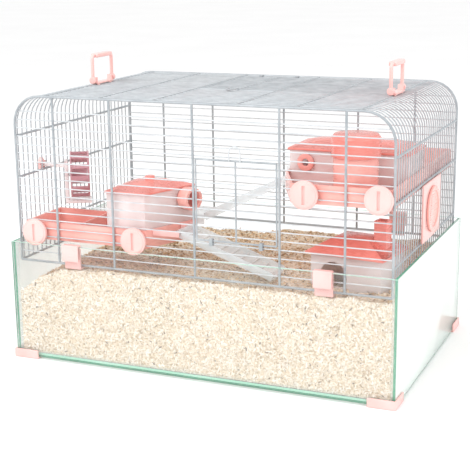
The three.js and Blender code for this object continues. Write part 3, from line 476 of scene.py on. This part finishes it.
def make_front_door():
    low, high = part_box("front_door")
    y = (low.y + high.y) / 2
    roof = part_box("front_mesh")[1].z
    left, right = low.x + DOOR, high.x - DOOR
    bottom, top = low.z + DOOR, high.z - DOOR
    shape = bmesh.new()
    corners = [(left, y, bottom), (right, y, bottom), (right, y, top), (left, y, top)]
    run_ring(shape, corners, DOOR)
    middle = (left + right) / 2
    run_wire(shape, [(middle, y, bottom), (middle, y, top)], DOOR)
    for row in range(ROW_COUNT):
        z = roof - FIRST_ROW - row * PITCH
        if bottom + 0.004 < z < top - 0.002:
            run_wire(shape, [(left, y + 0.0003, z), (right, y + 0.0003, z)], THIN, 6)
    make_piece("front_door_wires", shape, "front_door", materials=WIRES)
    low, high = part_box("front_door_latch")
    y = (low.y + high.y) / 2
    turn = (high.x - low.x) / 2 - THIN
    centre = ((low.x + high.x) / 2, high.z - THIN - turn)
    route = [(low.x + THIN, low.z), *bend_points(centre, turn, 180, 0), (high.x - THIN, low.z)]
    shape = bmesh.new()
    run_wire(shape, [(x, y, z) for x, z in route], THIN)
    make_piece("front_door_catch", shape, "front_door_latch", materials=WIRES)


def make_roof_door():
    low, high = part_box("roof_door")
    z = (low.z + high.z) / 2
    left, right = low.x + DOOR, high.x - DOOR
    front, back = low.y + DOOR, high.y - DOOR
    shape = bmesh.new()
    corners = [(left, front, z), (right, front, z), (right, back, z), (left, back, z)]
    run_ring(shape, corners, DOOR)
    middle = (left + right) / 2
    run_wire(shape, [(middle, front, z), (middle, back, z)], DOOR)
    for row in range(HATCH_ROWS[0], HATCH_ROWS[1]):
        y = row * PITCH
        if front + 0.004 < y < back - 0.004:
            run_wire(shape, [(left, y, z + 0.0002), (right, y, z + 0.0002)], THIN, 6)
    make_piece("roof_door_wires", shape, "roof_door", materials=TOP_WIRES)
    low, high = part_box("roof_door_latch")
    z = (low.z + high.z) / 2
    turn = (high.x - low.x) / 2 - THIN
    centre = ((low.x + high.x) / 2, low.y + THIN + turn)
    bend = bend_points(centre, turn, 180, 360)
    route = [(low.x + THIN, high.y), *bend, (high.x - THIN, high.y)]
    shape = bmesh.new()
    run_wire(shape, [(x, y, z) for x, y in route], THIN)
    make_piece("roof_door_catch", shape, "roof_door_latch", materials=TOP_WIRES)


# ---- Glass tank ----
def add_block(shape, low, high):
    """A box between two corners, as a list of its vertices."""
    size = Vector(high) - Vector(low)
    made = bmesh.ops.create_cube(shape, size=1)["verts"]
    bmesh.ops.scale(shape, verts=made, vec=size)
    bmesh.ops.translate(shape, verts=made, vec=(Vector(low) + Vector(high)) / 2)
    return made


def round_edges(shape, verts, width, segments=2, keep=None):
    """Rounds the edges between these vertices; keep picks among them."""
    chosen = set(verts)
    edges = {e for v in chosen for e in v.link_edges if set(e.verts) <= chosen}
    if keep:
        edges = {e for e in edges if keep(e)}
    return bmesh.ops.bevel(
        shape,
        geom=list(edges),
        offset=width,
        segments=segments,
        profile=0.5,
        affect="EDGES",
        clamp_overlap=True,
        material=-1,
    )


SHARP = math.radians(32)  # edges sharper than this are rounded
EDGE_LINE = 0.0016  # how much of the base's cut edge shows green
PANE_ARRIS = 0.0004


def make_panes():
    for node in ("glass_front", "glass_back", "glass_left", "glass_right", "glass_base"):
        low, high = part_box(node)
        thin = min(range(3), key=lambda axis: high[axis] - low[axis])
        shape = bmesh.new()
        round_edges(shape, add_block(shape, low, high), PANE_ARRIS, 2)
        level = low.z + EDGE_LINE if node == "glass_base" else high.z
        if node == "glass_base":
            whole = shape.verts[:] + shape.edges[:] + shape.faces[:]
            bmesh.ops.bisect_plane(
                shape, geom=whole, plane_co=(0, 0, level), plane_no=(0, 0, 1)
            )
        shape.normal_update()
        for face in shape.faces:
            cut = abs(face.normal[thin]) < 0.9
            pale = face.calc_center_median().z > level
            if thin == 1:
                pale = face.normal.z > 0.5
            face.material_index = (2 if pale else 1) if cut else 0
        pane = make_piece(
            node + "_pane", shape, node, materials=[FINISH["glass"], GLASS_EDGE, GLASS_FRINGE]
        )
        pane.visible_shadow = False


# ---- Wood shavings ----
BED_STEP = 0.005
TOP_FLAKES = 9200
FRONT_FLAKES = 9300
BACK_FLAKES = 5000
END_FLAKES = 7000
FLAKE_SIZE = (0.0034, 0.0009, 0.0003)


def node_tree_of(node):
    """The CAD node's surface, for finding heights on it."""
    mesh = frame["nodes"][node].data
    points = [v.co for v in mesh.vertices]
    return BVHTree.FromPolygons(points, [list(p.vertices) for p in mesh.polygons])


class Heap:
    """The top of the shavings: the CAD level with small lumps on it."""

    def __init__(self):
        self.low, self.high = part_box("wood_shavings")
        self.surface = node_tree_of("wood_shavings")

    def level(self, x, y):
        inside_x = min(max(x, self.low.x + 0.001), self.high.x - 0.001)
        inside_y = min(max(y, self.low.y + 0.001), self.high.y - 0.001)
        hit = self.surface.ray_cast(Vector((inside_x, inside_y, 0.4)), Vector((0, 0, -1)))[0]
        lumps = noise.noise(Vector((x * 38, y * 38, 0))) * 0.0035
        crumbs = noise.noise(Vector((x * 140, y * 140, 3))) * 0.0016
        return (hit.z if hit else self.low.z) + lumps + crumbs


def make_bedding(heap):
    """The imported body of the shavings, out to just inside the glass."""
    half_x, half_y = heap.high.x + 0.0008, heap.high.y + 0.0015
    shape = bmesh.new()
    steps = (int(2 * half_x / BED_STEP), int(2 * half_y / BED_STEP))
    bmesh.ops.create_grid(
        shape,
        x_segments=steps[0],
        y_segments=steps[1],
        size=0.5,
        matrix=Matrix.Diagonal((2 * half_x, 2 * half_y, 1, 1)),
    )
    for v in shape.verts:
        v.co.z = heap.level(v.co.x, v.co.y)
    rim = [e for e in shape.edges if e.is_boundary]
    made = bmesh.ops.extrude_edge_only(shape, edges=rim)["geom"]
    skirt = [g for g in made if isinstance(g, bmesh.types.BMVert)]
    for v in skirt:
        v.co.z = heap.low.z
    fresh = set(skirt)
    bottom = [
        g for g in made if isinstance(g, bmesh.types.BMEdge) and set(g.verts) <= fresh
    ]
    bmesh.ops.contextual_create(shape, geom=bottom)
    return make_piece("shavings_bed", shape, "wood_shavings", smooth=60)


def flake_shape():
    """One small curled flake with a few faces, about its own middle."""
    shape = bmesh.new()
    bmesh.ops.create_cone(
        shape, cap_ends=True, cap_tris=True, segments=5, radius1=1, radius2=0.55, depth=1
    )
    for v in shape.verts:
        v.co.z += 0.9 * v.co.x * v.co.x
    bmesh.ops.triangulate(shape, faces=shape.faces)
    bmesh.ops.recalc_face_normals(shape, faces=shape.faces)
    mesh = bpy.data.meshes.new("flake")
    shape.to_mesh(mesh)
    shape.free()
    points = np.array([v.co for v in mesh.vertices])
    faces = np.array([list(p.vertices) for p in mesh.polygons])
    bpy.data.meshes.remove(mesh)
    return points, faces


def scatter(name, places, draw, finish, paleness):
    """Many flakes as one piece: places are (point, facing direction)."""
    points, faces = flake_shape()
    count = len(places)
    every = np.empty((count, len(points), 3))
    shades = np.empty(count)
    for i, (point, facing) in enumerate(places):
        tilt = Vector([draw.gauss(0, 0.36) for _ in range(3)])
        lean = (facing + tilt).normalized().to_track_quat("Z", "Y").to_matrix()
        turn = lean @ Matrix.Rotation(draw.uniform(0, math.tau), 3, "Z")
        grow = draw.uniform(0.55, 1.45)
        size = Matrix.Diagonal(
            (
                FLAKE_SIZE[0] * grow,
                FLAKE_SIZE[1] * draw.uniform(0.6, 1.5),
                FLAKE_SIZE[2],
            )
        )
        every[i] = points @ np.array(turn @ size).T + np.array(point)
        shades[i] = min(max(draw.gauss(paleness, 0.22), 0), 1)
    offsets = (np.arange(count) * len(points))[:, None, None]
    mesh = bpy.data.meshes.new(name)
    mesh.from_pydata(
        every.reshape(-1, 3), [], (faces[None] + offsets).reshape(-1, 3)
    )
    attribute = mesh.attributes.new("shade", "FLOAT", "POINT")
    attribute.data.foreach_set("value", np.repeat(shades, len(points)).astype(np.float32))
    mesh.materials.append(finish)
    piece = bpy.data.objects.new(name, mesh)
    bpy.context.scene.collection.objects.link(piece)
    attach(piece, "tank")
    return piece


def make_flakes(heap):
    draw = random.Random(11)
    half_x, half_y = heap.high.x, heap.high.y
    top = []
    for _ in range(TOP_FLAKES):
        x, y = draw.uniform(-half_x, half_x), draw.uniform(-half_y, half_y)
        point = Vector((x, y, heap.level(x, y) + draw.uniform(0.0, 0.0016)))
        top.append((point, Vector((0, 0, 1))))
    # The lower mean tone of the top flakes adds painted shade on top of their darker palette.
    scatter("loose_shavings_top", top, draw, SHADED_TOP_CHIPS, 0.5)
    for side, count in ((-1, FRONT_FLAKES), (1, BACK_FLAKES)):
        face = []
        for _ in range(count):
            x = draw.uniform(-half_x, half_x)
            ceiling = heap.level(x, side * half_y)
            z = draw.uniform(heap.low.z + 0.001, ceiling)
            depth = half_y + draw.uniform(0.0012, 0.0022)
            face.append((Vector((x, side * depth, z)), Vector((0, side, 0))))
        name = "loose_shavings_" + ("front" if side < 0 else "back")
        scatter(name, face, draw, SIDE_CHIPS, 0.62)
    ends = []
    for _ in range(END_FLAKES):
        side = draw.choice((-1, 1))
        y = draw.uniform(-half_y, half_y)
        ceiling = heap.level(side * half_x, y)
        z = draw.uniform(heap.low.z + 0.001, ceiling)
        depth = half_x + draw.uniform(0.0006, 0.0014)
        ends.append((Vector((side * depth, y, z)), Vector((side, 0, 0))))
    scatter("loose_shavings_ends", ends, draw, SIDE_CHIPS, 0.62)


# ---- Carry handles ----
ARM = 0.0026
GRIP = 0.0064
EYE = 0.0053
HANDLE_BEND = 0.009


def make_handles():
    """A slim bent loop with a fuller grip, and an eye on each side to turn on."""
    for node in ("carry_handle_left", "carry_handle_right"):
        low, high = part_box(node)
        x = (low.x + high.x) / 2
        side, top, pivot = high.y - ARM, high.z - ARM, low.z + EYE
        turn = HANDLE_BEND - ARM
        left = bend_points((-side + turn, top - turn), turn, 180, 90)
        right = bend_points((side - turn, top - turn), turn, 90, 0)
        shape = bmesh.new()
        route = [(-side, pivot), *left, *right, (side, pivot)]
        run_wire(shape, [(x, y, z) for y, z in route], ARM, 12)
        grip = add_block(
            shape, (low.x, -side + turn, high.z - GRIP), (high.x, side - turn, high.z)
        )
        round_edges(shape, grip, GRIP * 0.3, 3)
        for y in (-side, side):
            place = Matrix.Translation((x, y, pivot)) @ Matrix.Rotation(math.pi / 2, 4, "X")
            made = bmesh.ops.create_cone(
                shape,
                cap_ends=True,
                segments=24,
                radius1=EYE,
                radius2=EYE,
                depth=2 * ARM,
                matrix=place,
            )["verts"]
            round_edges(shape, made, 0.0006, 2, lambda e: e.calc_face_angle(0) > SHARP)
        make_piece(node + "_loop", shape, node, smooth=50)


# ---- Moulded pieces, with the sharp CAD edges rounded ----
# How far each kind of piece is rounded, by the start of its name.
SOFT_EDGE = {
    "corner_foot": 0.0012,
    "rim_clip": 0.0008,
    "handle_bracket": 0.0005,
    "left_tray": 0.0010,
    "right_tray": 0.0010,
    "tray_plug": 0.0012,
    "left_house": 0.0006,
    "right_house": 0.0006,
    "pot": 0.0010,
    "wheel": 0.0004,
    "star_nut": 0.0008,
    "knob": 0.0011,
    "ramp_bracket": 0.0005,
    "down_ramp": 0.0005,
    "bridge": 0.0005,
    "hide": 0.0008,
    "port": 0.0008,
    "front_door_hinge": 0.0004,
    "roof_door_hinge": 0.0004,
}


def soft_width(node):
    """How far a node's edges are rounded, or nothing where it stays as it is."""
    for start, width in SOFT_EDGE.items():
        if node.startswith(start):
            return width
    return None


BOX_SLACK = 0.0004


def sound(shape, node):
    """True if a mesh is closed and still fills its CAD node's box."""
    if any(not e.is_manifold for e in shape.edges):
        return False
    low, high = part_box(node)
    for i in range(3):
        along = [v.co[i] for v in shape.verts]
        if abs(min(along) - low[i]) > BOX_SLACK or abs(max(along) - high[i]) > BOX_SLACK:
            return False
    return True


def soften(node, width):
    """Stands a copy of a CAD node with rounded edges in for it, unless that fails."""
    shape = bmesh.new()
    shape.from_mesh(frame["nodes"][node].data)
    bmesh.ops.remove_doubles(shape, verts=shape.verts, dist=2e-6)
    bmesh.ops.dissolve_limit(
        shape, angle_limit=math.radians(1), verts=shape.verts, edges=shape.edges
    )
    edges = [e for e in shape.edges if len(e.link_faces) == 2 and e.calc_face_angle() > SHARP]
    bmesh.ops.bevel(
        shape,
        geom=edges,
        offset=width,
        segments=2,
        profile=0.5,
        affect="EDGES",
        clamp_overlap=True,
        material=-1,
    )
    bmesh.ops.triangulate(shape, faces=[f for f in shape.faces if len(f.verts) > 4])
    if sound(shape, node):
        make_piece(node + "_moulded", shape, node, smooth=40)
    else:
        shape.free()


def make_moulded_pieces():
    for node in frame["nodes"]:
        width = soft_width(node)
        if width:
            soften(node, width)


def finish_cad_nodes():
    for name, node in frame["nodes"].items():
        node.data.materials.clear()
        node.data.materials.append(FINISH[SLOTS[name]])


# ---- Floor and light ----
def set_stage():
    shape = bmesh.new()
    bmesh.ops.create_grid(shape, x_segments=8, y_segments=8, size=30)
    mesh = bpy.data.meshes.new("floor")
    shape.to_mesh(mesh)
    shape.free()
    floor = bpy.data.objects.new("floor", mesh)
    bpy.context.scene.collection.objects.link(floor)
    material, tree, shader, place = start_material("pale_floor")
    clouds = grain(tree, place, 2)
    stops = [(0.3, tone("fbfbfb")), (0.7, tone("fefefe"))]
    tree.links.new(ramp(tree, clouds, stops), shader.inputs["Base Color"])
    shader.inputs["Roughness"].default_value = 0.85
    mesh.materials.append(material)
    world = bpy.data.worlds.new("studio")
    world.use_nodes = True
    sky = world.node_tree.nodes["Background"]
    sky.inputs["Color"].default_value = (1, 1, 1, 1)
    sky.inputs["Strength"].default_value = 1.0
    bpy.context.scene.world = world
    for name, place, size, power in (
        ("key_light", (-0.9, -1.6, 2.2), 1.8, 34),
        ("fill_light", (2.0, -1.0, 1.4), 2.0, 16),
    ):
        lamp = bpy.data.lights.new(name, "AREA")
        lamp.size = size
        lamp.energy = power
        light = bpy.data.objects.new(name, lamp)
        light.location = place
        aim = Vector((0, 0, 0.2)) - Vector(place)
        light.rotation_euler = aim.to_track_quat("-Z", "Y").to_euler()
        bpy.context.scene.collection.objects.link(light)
    bpy.context.scene.view_settings.view_transform = "Standard"


set_camera()
finish_cad_nodes()
make_faces()
make_roof_and_ends()
make_front_door()
make_roof_door()
make_panes()
shavings = Heap()
make_bedding(shavings)
make_flakes(shavings)
make_handles()
make_moulded_pieces()
set_stage()
